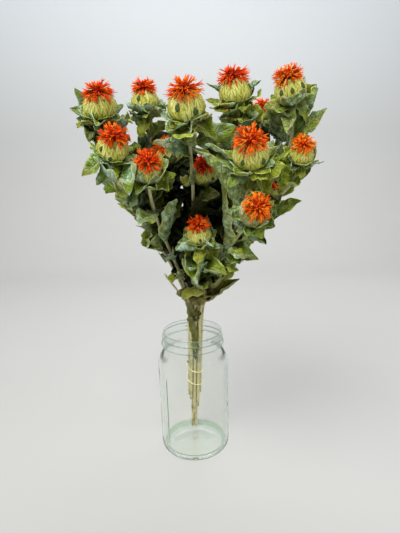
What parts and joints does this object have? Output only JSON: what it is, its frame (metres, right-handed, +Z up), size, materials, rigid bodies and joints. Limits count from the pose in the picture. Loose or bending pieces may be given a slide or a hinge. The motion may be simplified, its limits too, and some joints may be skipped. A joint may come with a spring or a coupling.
{
  "type": "jar of dried safflower",
  "caption": "Wide-mouthed glass preserving jar holding a tied bunch of dried safflower, with orange-red florets in pale green cups and leathery olive leaves on straw stems.",
  "frame": {"origin": "middle of the jar's foot, on the surface it stands on", "axes": "+Z up along the jar's axis, -Y towards the front"},
  "size_m": [0.2411, 0.2458, 0.493],
  "materials": {
    "jar": "clear, slightly green, polished",
    "tie": "twisted natural fibre",
    "leafy_stem": "dry, leathery, matt",
    "cup": "dry, papery, matt",
    "tuft": "dry, thread-like, matt"
  },
  "bodies": {
    "root": {"jar": "jar", "tie": "tie", "leafy_stem_01": "leafy_stem", "leafy_stem_02": "leafy_stem", "leafy_stem_03": "leafy_stem", "leafy_stem_04": "leafy_stem", "leafy_stem_05": "leafy_stem", "leafy_stem_06": "leafy_stem", "leafy_stem_07": "leafy_stem", "leafy_stem_08": "leafy_stem", "leafy_stem_09": "leafy_stem", "leafy_stem_10": "leafy_stem", "leafy_stem_11": "leafy_stem", "leafy_stem_12": "leafy_stem", "cup_01": "cup", "cup_02": "cup", "cup_03": "cup", "cup_04": "cup", "cup_05": "cup", "cup_06": "cup", "cup_07": "cup", "cup_08": "cup", "cup_09": "cup", "cup_10": "cup", "cup_11": "cup", "cup_12": "cup", "cup_13": "cup", "cup_14": "cup", "cup_15": "cup", "cup_16": "cup", "cup_17": "cup", "cup_18": "cup", "cup_19": "cup", "cup_20": "cup", "cup_21": "cup", "cup_22": "cup", "tuft_01": "tuft", "tuft_02": "tuft", "tuft_03": "tuft", "tuft_04": "tuft", "tuft_05": "tuft", "tuft_06": "tuft", "tuft_07": "tuft", "tuft_08": "tuft", "tuft_09": "tuft", "tuft_10": "tuft", "tuft_11": "tuft", "tuft_12": "tuft", "tuft_13": "tuft", "tuft_14": "tuft", "tuft_15": "tuft", "tuft_16": "tuft", "tuft_17": "tuft", "tuft_18": "tuft", "tuft_19": "tuft", "tuft_20": "tuft", "tuft_21": "tuft", "tuft_22": "tuft"}
  },
  "joints": []
}
